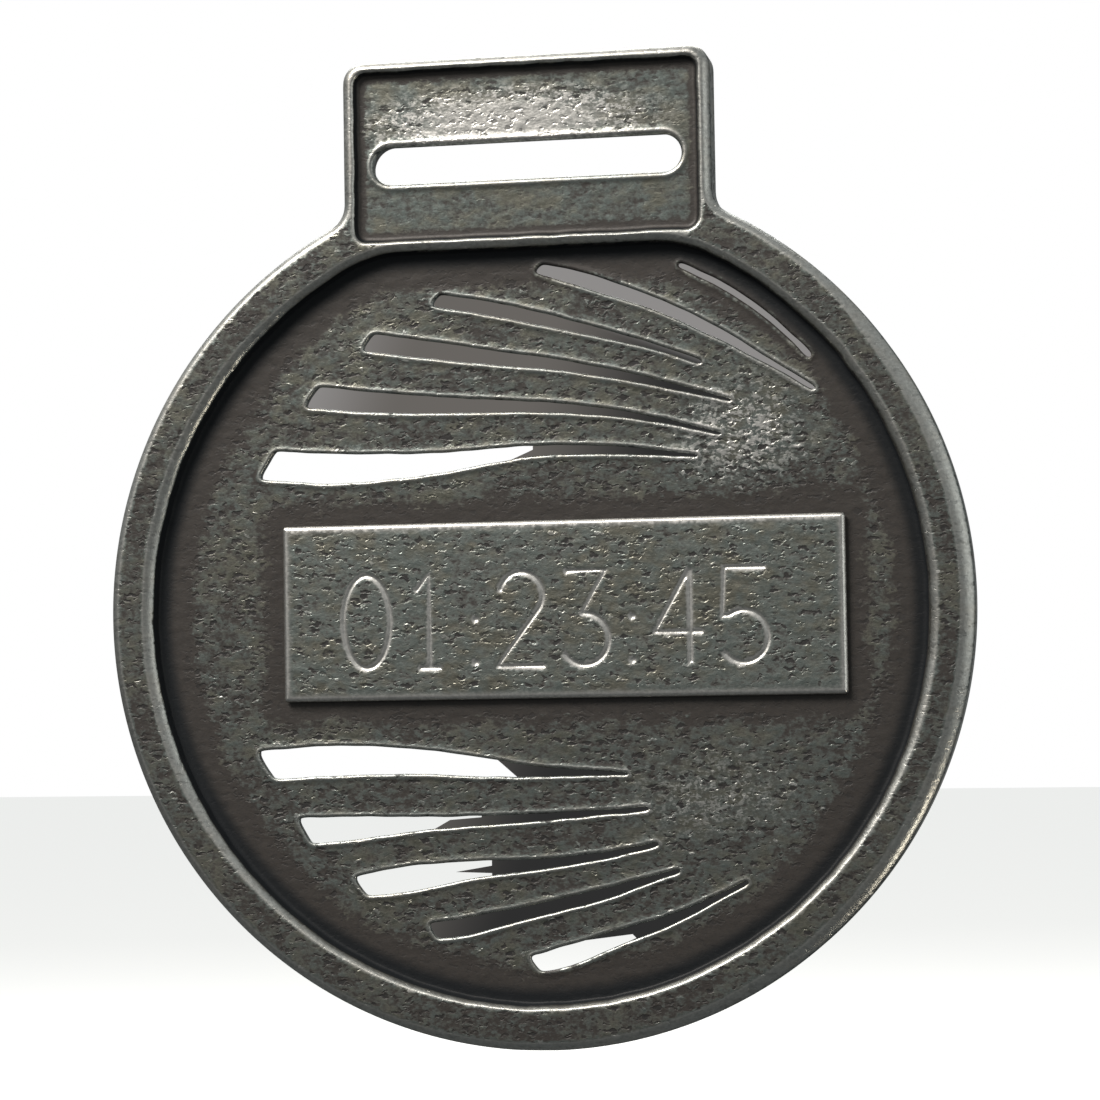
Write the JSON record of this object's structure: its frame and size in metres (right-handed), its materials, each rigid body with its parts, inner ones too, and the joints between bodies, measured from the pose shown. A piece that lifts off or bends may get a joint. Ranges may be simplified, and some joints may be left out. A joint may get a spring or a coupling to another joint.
{
  "type": "sports finisher medal",
  "caption": "Round cast finisher medal with a raised rim, tapering openwork slots, a rectangular ribbon lug and an engraved time plate on its front.",
  "frame": {"origin": "on the disc's axis, in the plane of the back's shallow field", "axes": "+Z from the disc's centre to the ribbon lug, +Y out of the back, so the engraved front looks along -Y; +X is to the right as the front is seen"},
  "size_m": [0.07, 0.0035, 0.0795],
  "materials": {
    "cast_metal": "antique pewter: dark patina in the corners, rubbed bright on raised areas",
    "plate_metal": "rubbed antique pewter, engraved",
    "bonding_film": "translucent adhesive film"
  },
  "bodies": {
    "root": {"medal_body": "cast_metal", "plate_adhesive": "bonding_film", "time_plate": "plate_metal"}
  },
  "joints": []
}
